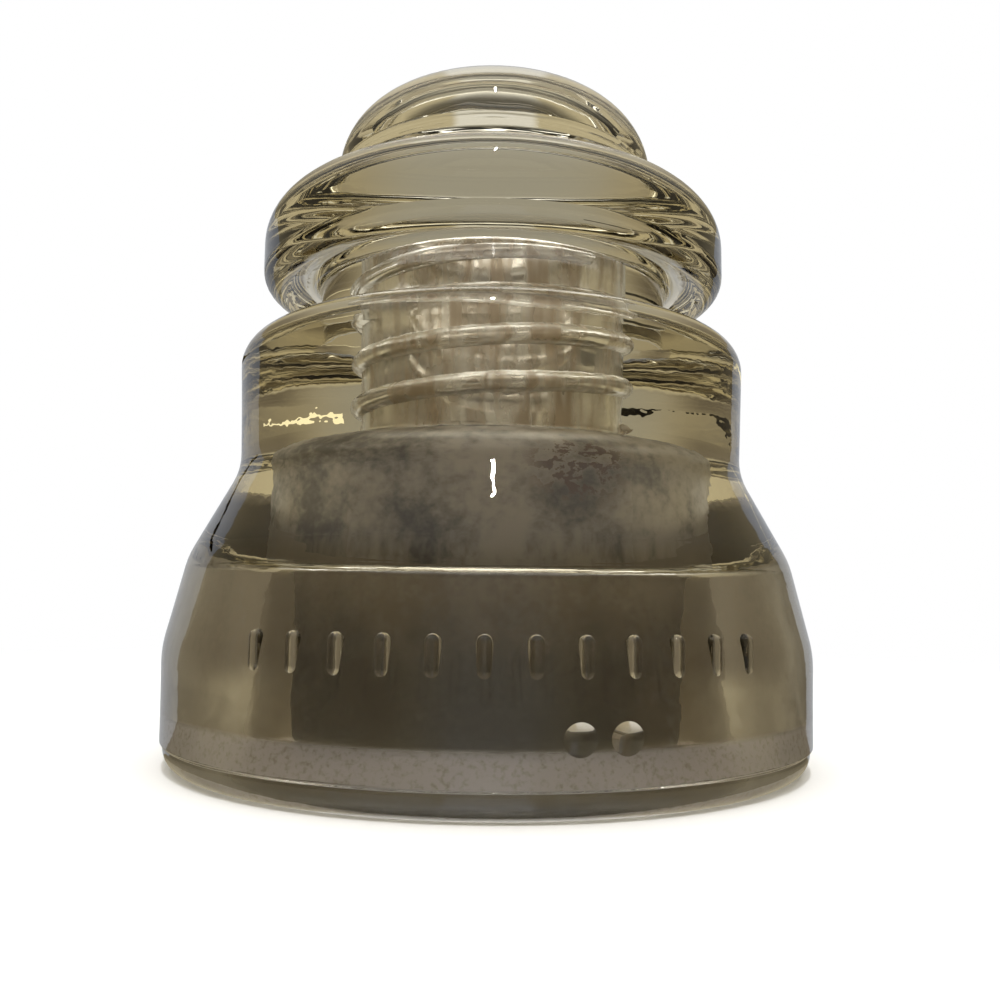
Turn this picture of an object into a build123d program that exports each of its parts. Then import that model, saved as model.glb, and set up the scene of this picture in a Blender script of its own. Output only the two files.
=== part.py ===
from build123d import *
import os
from math import atan2, cos, degrees, radians, sin

# One-piece pressed-glass pin insulator with two wire grooves.
# Millimetres. Origin at the centre of the base plane, +Z up along the axis of the pin hole.

# base rim
RIM_R = 45.35
RIM_H = 3.3
RIM_ROUND = 2.9
RIM_STEP = 0.4
RIM_STEP_H = 0.3
RIM_STEP_ROUND = 0.25
RIM_FOOT_ROUND = 0.15

# bell skirt and waist
SKIRT_R = 46.0
SKIRT_TURN_Z = 15.9
SKIRT_TURN_ROUND = 16.0
KNEE_R = 43.1
KNEE_Z = 28.2
KNEE_ROUND = 12.0
WAIST_R = 36.55
WAIST_Z = 40.5
WAIST_ROUND = 9.0

# shoulder band under the lower wire groove
SHOULDER_R = 37.25
SHOULDER_Z = 60.0
SHOULDER_ROUND = 4.5

# ring between the two wire grooves
RING_R = 34.5
RING_BOTTOM_Z = 65.8
RING_TOP_Z = 81.3
RING_LOWER_ROUND = 2.6
RING_UPPER_ROUND = 7.0

# wire grooves
LOWER_NECK_R = 26.0
LOWER_NECK_TOP_Z = 70.6
LOWER_NECK_TOP_ROUND = 1.6
LOWER_GROOVE_ROUND = 2.9
UPPER_NECK_R = 20.0
UPPER_GROOVE_ROUND = 2.0

# crown
CROWN_R = 24.0
CROWN_BOTTOM_Z = 85.5
CROWN_LIP_ROUND = 1.3
CROWN_TURN_Z = 86.9
CROWN_ROUND = 10.8
HEIGHT = 100.5

# annular cavity between the skirt and the inner petticoat
CAVITY_TOP_R = 32.0
CAVITY_TOP_Z = 25.4
CAVITY_ROUND = 1.3
FLARE_R = 35.4
FLARE_Z = 6.6
FLARE_ROUND = 1.0
MOUTH_R = 37.4
MOUTH_ROUND = 2.4

# inner petticoat
PETTICOAT_R = 29.0
PETTICOAT_TIP_R = 27.4
PETTICOAT_Z = 5.5
PETTICOAT_ROUND = 2.2

# domed chamber inside the petticoat
CHAMBER_MOUTH_R = 22.3
CHAMBER_TOP_R = 21.2
CHAMBER_TOP_Z = 44.5
CHAMBER_ROUND = 6.4
ENTRY_ROUND = 0.9

# pin hole with a rounded thread for the 1-inch pin, 4 threads to the inch
HOLE_R = 13.0
HOLE_TOP_Z = 76.0
HOLE_TOP_RISE = 0.8
HOLE_TOP_ROUND = 3.0
THREAD_PITCH = 6.35
THREAD_START_Z = 46.6
THREAD_TURNS = 3.9
THREAD_CORD_R = 1.5
THREAD_DEPTH = 1.1

# how far the hollows are cut past an open edge
CUT_PAST = 1.0

# plain raised marks on the skirt
MARK_COUNT = 12
MARK_Z = 16.9
MARK_LENGTH = 2.9
MARK_R = 0.9
MARK_PROUD = 0.45
MARK_BED = 0.15
MARK_FIRST_ANGLE = -34.0
MARK_STEP_ANGLE = 6.7
PIP_R = 3.2
PIP_PROUD = 0.55
PIP_Z = 8.7
PIP_ANGLES = (12.0, 18.5)


def outline():
    """Outer profile from the side of the crown down to the base, with its corner radii."""
    corners = [
        ((CROWN_R, CROWN_BOTTOM_Z), CROWN_LIP_ROUND),
        ((UPPER_NECK_R, CROWN_BOTTOM_Z), UPPER_GROOVE_ROUND),
        ((UPPER_NECK_R, RING_TOP_Z), UPPER_GROOVE_ROUND),
        ((RING_R, RING_TOP_Z), RING_UPPER_ROUND),
        ((RING_R, RING_BOTTOM_Z), RING_LOWER_ROUND),
        ((LOWER_NECK_R, LOWER_NECK_TOP_Z), LOWER_NECK_TOP_ROUND),
        ((LOWER_NECK_R, SHOULDER_Z), LOWER_GROOVE_ROUND),
        ((SHOULDER_R, SHOULDER_Z), SHOULDER_ROUND),
        ((WAIST_R, WAIST_Z), WAIST_ROUND),
        ((KNEE_R, KNEE_Z), KNEE_ROUND),
        ((SKIRT_R, SKIRT_TURN_Z), SKIRT_TURN_ROUND),
        ((RIM_R + RIM_STEP, RIM_H + RIM_STEP_H), RIM_STEP_ROUND),
        ((RIM_R, RIM_H), RIM_FOOT_ROUND),
        ((RIM_R, 0.0), RIM_ROUND),
    ]
    points = [(CROWN_R, CROWN_TURN_Z)] + [point for point, _ in corners] + [(MOUTH_R, 0.0)]
    return points, [radius for _, radius in corners]


def body():
    """Solid of revolution: shallow dome, round crown edge, then the outer profile."""
    points, radii = outline()
    turn_r = CROWN_R - CROWN_ROUND
    rise = HEIGHT - CROWN_TURN_Z
    dome_r = (turn_r**2 + rise**2 - CROWN_ROUND**2) / (2 * (rise - CROWN_ROUND))
    dome_angle = degrees(atan2(turn_r, dome_r - rise))
    with BuildPart() as solid:
        with BuildSketch(Plane.XZ):
            with BuildLine():
                CenterArc((0, HEIGHT - dome_r), dome_r, 90, -dome_angle)
                CenterArc((turn_r, CROWN_TURN_Z), CROWN_ROUND, 90 - dome_angle, dome_angle - 90)
                FilletPolyline(*points, radius=radii)
                Line(points[-1], (0, 0))
                Line((0, 0), (0, HEIGHT))
            make_face()
        revolve(axis=Axis.Z)
    return solid.part


def hollow(corners):
    """Revolved void from its axis point, through the corners, back to the axis."""
    points = [point for point, _ in corners]
    radii = [radius for _, radius in corners[1:-1]]
    with BuildPart() as void:
        with BuildSketch(Plane.XZ):
            with BuildLine():
                FilletPolyline(*points, radius=radii)
                Line(points[-1], points[0])
            make_face()
        revolve(axis=Axis.Z)
    return void.part


def skirt_cavity():
    """Annular hollow between the skirt and the petticoat, open at the base."""
    lip_r = MOUTH_R + MOUTH_ROUND
    return hollow([
        ((0, PETTICOAT_Z), 0),
        ((PETTICOAT_TIP_R, PETTICOAT_Z), PETTICOAT_ROUND),
        ((PETTICOAT_R, CAVITY_TOP_Z), CAVITY_ROUND),
        ((CAVITY_TOP_R, CAVITY_TOP_Z), CAVITY_ROUND),
        ((FLARE_R, FLARE_Z), FLARE_ROUND),
        ((MOUTH_R, 0), MOUTH_ROUND),
        ((lip_r, 0), 0),
        ((lip_r, -CUT_PAST), 0),
        ((0, -CUT_PAST), 0),
    ])


def pin_hole():
    """Domed chamber inside the petticoat, with the blind pin hole above it."""
    lip_r = CHAMBER_MOUTH_R + PETTICOAT_ROUND
    return hollow([
        ((0, PETTICOAT_Z - CUT_PAST), 0),
        ((lip_r, PETTICOAT_Z - CUT_PAST), 0),
        ((lip_r, PETTICOAT_Z), 0),
        ((CHAMBER_MOUTH_R, PETTICOAT_Z), PETTICOAT_ROUND),
        ((CHAMBER_TOP_R, CHAMBER_TOP_Z), CHAMBER_ROUND),
        ((HOLE_R, CHAMBER_TOP_Z), ENTRY_ROUND),
        ((HOLE_R, HOLE_TOP_Z), HOLE_TOP_ROUND),
        ((0, HOLE_TOP_Z + HOLE_TOP_RISE), 0),
    ])


def thread_groove():
    """Round-bottomed right-hand helical groove cut outwards from the pin hole."""
    path = Helix(
        pitch=THREAD_PITCH,
        height=THREAD_PITCH * THREAD_TURNS,
        radius=HOLE_R + THREAD_DEPTH - THREAD_CORD_R,
        center=(0, 0, THREAD_START_Z),
    )
    section = Plane(origin=path @ 0, z_dir=path % 0) * Circle(THREAD_CORD_R)
    return sweep(section, path=path, is_frenet=True)


def skirt_radius(z):
    """Outer radius of the skirt between the rim step and the turn of the bell."""
    low_z = RIM_H + RIM_STEP_H
    low_r = RIM_R + RIM_STEP
    return low_r + (SKIRT_R - low_r) * (z - low_z) / (SKIRT_TURN_Z - low_z)


def raised_marks():
    """Row of plain upright bars and two round pips standing proud of the skirt."""
    marks = []
    bar_r = skirt_radius(SKIRT_TURN_Z) - MARK_R - MARK_BED + MARK_PROUD
    for index in range(MARK_COUNT):
        angle = radians(MARK_FIRST_ANGLE + index * MARK_STEP_ANGLE - 90)
        x = bar_r * cos(angle)
        y = bar_r * sin(angle)
        marks.append(Pos(x, y, MARK_Z) * Cylinder(MARK_R, MARK_LENGTH))
        marks.append(Pos(x, y, MARK_Z - MARK_LENGTH / 2) * Sphere(MARK_R))
        marks.append(Pos(x, y, MARK_Z + MARK_LENGTH / 2) * Sphere(MARK_R))
    pip_r = skirt_radius(PIP_Z) - PIP_R + PIP_PROUD
    for pip_angle in PIP_ANGLES:
        angle = radians(pip_angle - 90)
        marks.append(Pos(pip_r * cos(angle), pip_r * sin(angle), PIP_Z) * Sphere(PIP_R))
    return marks


os.makedirs("parts", exist_ok=True)

glass_body = body() - skirt_cavity() - pin_hole()
glass_body = glass_body - thread_groove()
glass_body = glass_body + raised_marks()
export_step(glass_body, "parts/glass_body.step")
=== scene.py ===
from math import cos, radians, sin, tan

import bpy
from mathutils import Matrix, Vector

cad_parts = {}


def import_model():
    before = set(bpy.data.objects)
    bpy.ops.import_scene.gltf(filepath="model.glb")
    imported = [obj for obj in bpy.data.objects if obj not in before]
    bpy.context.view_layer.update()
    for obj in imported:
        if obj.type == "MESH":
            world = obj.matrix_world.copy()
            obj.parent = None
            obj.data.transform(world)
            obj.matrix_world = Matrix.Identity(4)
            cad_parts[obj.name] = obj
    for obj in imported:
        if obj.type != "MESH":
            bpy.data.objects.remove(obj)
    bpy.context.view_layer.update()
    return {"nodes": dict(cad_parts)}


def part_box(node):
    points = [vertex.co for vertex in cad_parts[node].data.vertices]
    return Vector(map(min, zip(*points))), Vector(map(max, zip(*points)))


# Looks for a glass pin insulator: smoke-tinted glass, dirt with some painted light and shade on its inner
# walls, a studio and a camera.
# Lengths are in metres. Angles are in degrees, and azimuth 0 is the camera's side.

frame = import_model()
_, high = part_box("glass_body")
HEIGHT = high[2]

# close low camera
CAMERA_DISTANCE = 0.1432
CAMERA_HEIGHT = 0.0229
CAMERA_PITCH = 5.9
CAMERA_YAW = 0.58
CAMERA_ROLL = 0.7
LENS = 34.2
SENSOR_WIDTH = 36
CLIP_START = 0.005

# where each kind of dirt, painted light and painted shade lies: reach is distance from the axis, rise is
# height above the base
WALL_REACH = (0.0303, 0.0378)
WALL_RISE = (0.0012, 0.0251)
FLANK_SIDE = (0.0220, 0.0290)
FLARE_END = (0.0060, 0.0070)
MOUTH_REACH = (0.0303, 0.0424)
MOUTH_TOP = 0.0026
PETTICOAT_REACH = 0.0300
PETTICOAT_TOP = 0.0257
CHAMBER_REACH = 0.0225
CHAMBER_RISE = (0.0251, 0.0450)
HOLE_REACH = 0.0150
HOLE_RISE = (0.0450, 0.0790)
RUST_SPOT = (0.0096, -0.0189, 0.0370)
RUST_FADE = (0.0035, 0.0080)

# glass
TINT = (0.69, 0.60, 0.26, 1)
TINT_DENSITY = 9.5
GLASS_IOR = 1.51
WAVE_FADE_RISE = (0.056, 0.070)
RIPPLE_FADE_RISE = (0.056, 0.066)

# the room that the glass shows: up runs from -1 to 1, sideways from 0 to 1
TABLE_NEAR = (0.84, 0.82, 0.77, 1)
TABLE_SIDE = (0.56, 0.49, 0.33, 1)
TABLE_BELOW = (0.045, 0.037, 0.020, 1)
ROOM_BACK = (0.37, 0.35, 0.295, 1)
ROOM_SIDE = (0.37, 0.315, 0.20, 1)
ROOM_CORNER = (0.145, 0.118, 0.078, 1)
ROOM_CEILING = (0.80, 0.77, 0.70, 1)
WHITE = (1, 1, 1, 1)

# enough bounces for light to cross every wall of the glass
BOUNCES = 24


class Tree:
    """Small helper around a node tree. A pair of ends is (low, high)."""

    def __init__(self, tree):
        self.tree = tree
        tree.nodes.clear()

    def node(self, kind, inputs=None, **settings):
        made = self.tree.nodes.new(kind)
        for name, value in settings.items():
            setattr(made, name, value)
        for name, value in (inputs or {}).items():
            self.put(made.inputs[name], value)
        return made

    def put(self, socket, value):
        if isinstance(value, bpy.types.NodeSocket):
            self.tree.links.new(value, socket)
        else:
            socket.default_value = value

    def math(self, operation, first, second=0.0):
        return self.node("ShaderNodeMath", {0: first, 1: second}, operation=operation).outputs[0]

    def times(self, first, second):
        return self.math("MULTIPLY", first, second)

    def plus(self, first, second):
        return self.math("ADD", first, second)

    def ramp(self, value, ends, start=0.0, stop=1.0):
        """Smooth step from start to stop as the value goes from one end to the other."""
        made = self.node(
            "ShaderNodeMapRange",
            {"Value": value, "From Min": ends[0], "From Max": ends[1], "To Min": start, "To Max": stop},
            interpolation_type="SMOOTHSTEP",
        )
        return made.outputs["Result"]

    def noise(self, vector, scale, detail, roughness=0.55):
        made = self.node(
            "ShaderNodeTexNoise",
            {"Vector": vector, "Scale": scale, "Detail": detail, "Roughness": roughness},
        )
        return made.outputs["Fac"]

    def mix(self, factor, first, second):
        made = self.node("ShaderNodeMix", data_type="RGBA")
        self.put(made.inputs[0], factor)
        self.put(made.inputs[6], first)
        self.put(made.inputs[7], second)
        return made.outputs[2]

    def below(self, value, limit):
        """1 below the limit, 0 above."""
        return self.math("LESS_THAN", value, limit)

    def inside(self, value, ends):
        """1 between the two ends, 0 outside."""
        return self.times(self.math("GREATER_THAN", value, ends[0]), self.below(value, ends[1]))

    def layer(self, laid, zone, cover, colour):
        """The film of one zone, dirt and painted light alike, laid over the (cover, colour) pair so far."""
        old_cover, old_colour = laid
        kept = self.times(old_cover, self.math("SUBTRACT", 1.0, zone))
        return self.plus(kept, self.times(cover, zone)), self.mix(zone, old_colour, colour)


class Spot:
    """A point of the glass: its coordinates, its distance from the axis and the noises the dirt shares."""

    def __init__(self, t, place):
        self.place = place
        self.x, self.y, self.z = t.node("ShaderNodeSeparateXYZ", {"Vector": place}).outputs
        self.rho = t.math("SQRT", t.plus(t.times(self.x, self.x), t.times(self.y, self.y)))
        upright = t.node("ShaderNodeMapping", {"Vector": place, "Scale": (1.0, 1.0, 0.12)}).outputs[0]
        self.cloud = t.noise(place, 110.0, 4.0, 0.6)
        self.fine = t.noise(place, 700.0, 3.0, 0.6)
        self.grain = t.noise(place, 1500.0, 2.0, 0.6)
        self.streak = t.noise(upright, 420.0, 2.0, 0.6)
        tall_cloud = t.noise(upright, 150.0, 3.0, 0.6)
        patches = t.plus(t.times(self.cloud, 0.45), t.times(tall_cloud, 0.30))
        self.mottle = t.plus(patches, t.times(self.fine, 0.25))


def skirt_dirt_and_painted_light(t, at):
    """Brown film on the skirt's inner wall, thicker at its sides, lighter at the flare where the film is
    partly painted light from below, dark at the mouth.
    """
    wall = t.times(t.inside(at.rho, WALL_REACH), t.inside(at.z, WALL_RISE))
    film = t.mix(t.ramp(at.mottle, (0.44, 0.56)), (0.47, 0.40, 0.31, 1), (0.80, 0.74, 0.65, 1))
    laid = t.times(wall, t.ramp(at.mottle, (0.44, 0.56), 0.09, 0.03)), t.mix(wall, WHITE, film)

    flank = t.times(wall, t.ramp(t.math("ABSOLUTE", at.x), FLANK_SIDE))
    flank_cover = t.ramp(at.mottle, (0.42, 0.58), 0.50, 0.34)
    laid = t.layer(laid, flank, flank_cover, (0.20, 0.165, 0.120, 1))

    # painted light: the flare's film is partly dirt and partly painted light falling from below, which makes
    # it lighter than the wall above
    flare = t.times(wall, t.ramp(at.z, FLARE_END, 1.0, 0.0))
    flare_film_and_painted_light = t.mix(t.ramp(at.grain, (0.45, 0.80)), (0.54, 0.50, 0.51, 1), (0.34, 0.29, 0.26, 1))
    laid = t.layer(laid, flare, 0.50, flare_film_and_painted_light)

    mouth = t.times(t.inside(at.rho, MOUTH_REACH), t.below(at.z, MOUTH_TOP))
    return t.layer(laid, mouth, 0.46, (0.085, 0.064, 0.034, 1))


def petticoat_dirt_and_shade(t, at, laid):
    """Near-black grime that is partly painted shade of the hollow, lighter to one side where painted light
    falls, and lighter towards the top.
    """
    petticoat = t.times(t.below(at.rho, PETTICOAT_REACH), t.below(at.z, PETTICOAT_TOP))
    # painted light: lighter towards +x, the side that light falls from
    painted_light_to_side = t.ramp(t.plus(at.x, t.times(at.cloud, 0.010)), (0.0190, 0.0240))
    to_top = t.ramp(t.plus(at.z, t.times(at.cloud, 0.012)), (0.0190, 0.0300))
    # painted shade: the near-black colour is partly grime and partly the shade inside the hollow
    grime_and_painted_shade = t.mix(painted_light_to_side, (0.012, 0.007, 0.004, 1), (0.075, 0.061, 0.044, 1))
    grime_and_painted_shade = t.mix(to_top, grime_and_painted_shade, (0.190, 0.156, 0.112, 1))
    return t.layer(laid, petticoat, t.ramp(at.mottle, (0.44, 0.56), 0.92, 0.98), grime_and_painted_shade)


def core_dirt(t, at, laid):
    """Mottled earth in the chamber, thin streaks in the pin hole, and a cluster of rust specks."""
    chamber = t.times(t.below(at.rho, CHAMBER_REACH), t.inside(at.z, CHAMBER_RISE))
    earth = t.mix(t.ramp(at.mottle, (0.38, 0.60)), (0.040, 0.029, 0.018, 1), (0.34, 0.29, 0.22, 1))
    laid = t.layer(laid, chamber, t.ramp(at.mottle, (0.38, 0.60), 0.90, 0.74), earth)

    hole = t.times(t.below(at.rho, HOLE_REACH), t.inside(at.z, HOLE_RISE))
    tan_streak = t.mix(t.ramp(at.streak, (0.40, 0.62)), (0.86, 0.82, 0.75, 1), (0.46, 0.36, 0.25, 1))
    thin = t.plus(t.times(at.streak, 0.6), t.times(at.cloud, 0.4))
    laid = t.layer(laid, hole, t.ramp(thin, (0.42, 0.62), 0.20, 0.70), tan_streak)

    away = t.node("ShaderNodeVectorMath", {0: at.place, 1: RUST_SPOT}, operation="DISTANCE").outputs["Value"]
    specks = t.times(t.ramp(away, RUST_FADE, 1.0, 0.0), t.ramp(at.fine, (0.50, 0.56)))
    return t.layer(laid, t.times(specks, chamber), 0.95, (0.070, 0.028, 0.010, 1))


def glass_waves(t, at):
    """Bump of the pressed surface: slow waves everywhere, small ripples low down, calmer towards the top."""
    slow_waves = t.times(t.noise(at.place, 60.0, 1.0), 0.75)
    quick_waves = t.times(t.noise(at.place, 170.0, 1.0), 0.20)
    ripples = t.times(t.noise(at.place, 600.0, 1.0), t.ramp(at.z, RIPPLE_FADE_RISE, 0.06, 0.0))
    waves = t.plus(slow_waves, t.plus(quick_waves, ripples))
    waves = t.times(waves, t.ramp(at.z, WAVE_FADE_RISE, 1.0, 0.45))
    return t.node("ShaderNodeBump", {"Strength": 0.38, "Distance": 0.0006, "Height": waves}).outputs[0]


def smoke_glass():
    """Straw and smoke tinted glass, slightly wavy, with a brown-grey film of dirt on the inner walls, partly
    painted light and shade.
    """
    material = bpy.data.materials.new("smoke_glass")
    material.use_nodes = True
    t = Tree(material.node_tree)
    at = Spot(t, t.node("ShaderNodeTexCoord").outputs["Object"])
    cover, colour = core_dirt(t, at, petticoat_dirt_and_shade(t, at, skirt_dirt_and_painted_light(t, at)))
    glass = t.node(
        "ShaderNodeBsdfPrincipled",
        {
            "Base Color": colour,
            "Roughness": t.times(cover, 0.5),
            "Transmission Weight": t.math("SUBTRACT", 1.0, t.times(cover, 0.97)),
            "Normal": glass_waves(t, at),
            "IOR": GLASS_IOR,
        },
    )
    absorb = t.node("ShaderNodeVolumeAbsorption", {"Color": TINT, "Density": TINT_DENSITY})
    t.node("ShaderNodeOutputMaterial", {"Surface": glass.outputs[0], "Volume": absorb.outputs[0]})
    return material


def paper():
    """Matt off-white paper that fades into the white backdrop away from the glass."""
    material = bpy.data.materials.new("paper")
    material.use_nodes = True
    t = Tree(material.node_tree)
    place = t.node("ShaderNodeTexCoord").outputs["Object"]
    away = t.node("ShaderNodeVectorMath", {0: place}, operation="LENGTH").outputs["Value"]
    sheet = t.node("ShaderNodeBsdfPrincipled", {"Base Color": (0.86, 0.86, 0.86, 1), "Roughness": 0.9})
    glow = t.node("ShaderNodeEmission", {"Color": WHITE, "Strength": 1.0})
    fade = t.node(
        "ShaderNodeMixShader",
        {0: t.ramp(away, (0.06, 0.30)), 1: sheet.outputs[0], 2: glow.outputs[0]},
    )
    t.node("ShaderNodeOutputMaterial", {"Surface": fade.outputs[0]})
    return material


def glow_material(name, colour, strength):
    """Evenly shining card."""
    material = bpy.data.materials.new(name)
    material.use_nodes = True
    t = Tree(material.node_tree)
    glow = t.node("ShaderNodeEmission", {"Color": (*colour, 1), "Strength": strength})
    t.node("ShaderNodeOutputMaterial", {"Surface": glow.outputs[0]})
    return material


def plane(name, size_x, size_y, material):
    """Flat rectangle of the stage, centred on its own origin."""
    mesh = bpy.data.meshes.new(name)
    a, b = size_x / 2, size_y / 2
    mesh.from_pydata([(-a, -b, 0), (a, -b, 0), (a, b, 0), (-a, b, 0)], [], [(0, 1, 2, 3)])
    mesh.materials.append(material)
    made = bpy.data.objects.new(name, mesh)
    bpy.context.scene.collection.objects.link(made)
    return made


def aim(made, azimuth, elevation, distance, front):
    """Place an object at a distance from the middle of the glass, with its front axis facing it."""
    a, e = radians(azimuth), radians(elevation)
    target = Vector((0, 0, HEIGHT / 2))
    made.location = target + distance * Vector((sin(a) * cos(e), -cos(a) * cos(e), sin(e)))
    made.rotation_euler = (target - made.location).to_track_quat(front, "Y").to_euler()


def card(name, azimuth, elevation, wide, tall, distance, colour, strength, through=True):
    """Card only the glass shows, filling the angles wide and tall; through lets refraction see it."""
    size_x = 2 * distance * tan(radians(wide / 2))
    size_y = 2 * distance * tan(radians(tall / 2))
    made = plane(name, size_x, size_y, glow_material(name, colour, strength))
    aim(made, azimuth, elevation, distance, "Z")
    made.visible_camera = False
    made.visible_shadow = False
    made.visible_transmission = through


def lamp(name, azimuth, elevation, distance, size_x, size_y, power):
    """Soft box facing the middle of the glass."""
    data = bpy.data.lights.new(name, "AREA")
    data.shape = "RECTANGLE"
    data.size = size_x
    data.size_y = size_y
    data.energy = power
    made = bpy.data.objects.new(name, data)
    aim(made, azimuth, elevation, distance, "-Z")
    bpy.context.scene.collection.objects.link(made)
    return made


def world():
    """White for the camera, and a dim straw-coloured room for what the glass shows."""
    made = bpy.data.worlds.new("studio")
    bpy.context.scene.world = made
    made.use_nodes = True
    t = Tree(made.node_tree)
    direction = t.node("ShaderNodeTexCoord").outputs["Generated"]
    across, _, up = t.node("ShaderNodeSeparateXYZ", {"Vector": direction}).outputs
    sideways = t.math("ABSOLUTE", across)
    level = t.ramp(t.math("ABSOLUTE", up), (0.12, 0.30), 1.0, 0.0)

    table = t.mix(t.ramp(sideways, (0.19, 0.25)), TABLE_NEAR, TABLE_SIDE)
    table = t.mix(t.ramp(up, (-0.95, -0.78)), TABLE_BELOW, table)
    wall = t.mix(t.ramp(sideways, (0.15, 0.55)), ROOM_BACK, ROOM_SIDE)
    wall = t.mix(t.times(t.ramp(sideways, (0.35, 0.60)), level), wall, ROOM_CORNER)
    room = t.mix(t.ramp(up, (-0.32, -0.15)), table, wall)
    room = t.mix(t.ramp(up, (0.45, 0.90)), room, ROOM_CEILING)

    seen = t.node("ShaderNodeLightPath").outputs["Is Camera Ray"]
    background = t.node("ShaderNodeBackground", {"Color": t.mix(seen, room, WHITE), "Strength": 1.0})
    t.node("ShaderNodeOutputWorld", {"Surface": background.outputs[0]})


def camera():
    """Close low camera that looks slightly up, with a small roll."""
    data = bpy.data.cameras.new("camera")
    data.lens = LENS
    data.sensor_width = SENSOR_WIDTH
    data.clip_start = CLIP_START
    made = bpy.data.objects.new("camera", data)
    made.location = (0, -CAMERA_DISTANCE, CAMERA_HEIGHT)
    yaw = Matrix.Rotation(-radians(CAMERA_YAW), 4, "Z")
    pitch = Matrix.Rotation(radians(90 + CAMERA_PITCH), 4, "X")
    roll = Matrix.Rotation(radians(CAMERA_ROLL), 4, "Z")
    made.matrix_world = Matrix.Translation(made.location) @ (yaw @ pitch) @ roll
    bpy.context.scene.collection.objects.link(made)
    bpy.context.scene.camera = made


def studio():
    """Paper floor, soft light overhead, a slim highlight, and the cards that the glass mirrors and bends."""
    floor = plane("floor", 6, 6, paper())
    floor.visible_transmission = False
    floor.visible_glossy = False
    floor.visible_diffuse = False
    overhead = lamp("overhead", 0, 89, distance=0.9, size_x=1.4, size_y=1.4, power=11)
    overhead.visible_glossy = False
    lamp("key_strip", 0, 63, distance=0.9, size_x=0.014, size_y=0.10, power=3)
    card("back_mirror", 186, 8, 100, 44, 0.9, (0.92, 0.95, 1.0), 0.55, through=False)
    card("back_top", 180, 46, 24, 40, 0.9, (0.95, 0.97, 1.0), 0.6, through=False)
    card("dark_line", 214, 14.8, 40, 1.3, 0.7, (0.0, 0.0, 0.0), 0.0)
    card("bright_line", 149, 13.1, 26, 0.3, 0.7, (1.0, 0.9, 0.6), 1.4)


glass_body = frame["nodes"]["glass_body"]
glass_body.data.materials.clear()
glass_body.data.materials.append(smoke_glass())

studio()
world()
camera()
bpy.context.scene.view_settings.view_transform = "Standard"
bpy.context.scene.cycles.transmission_bounces = BOUNCES
bpy.context.scene.cycles.max_bounces = BOUNCES
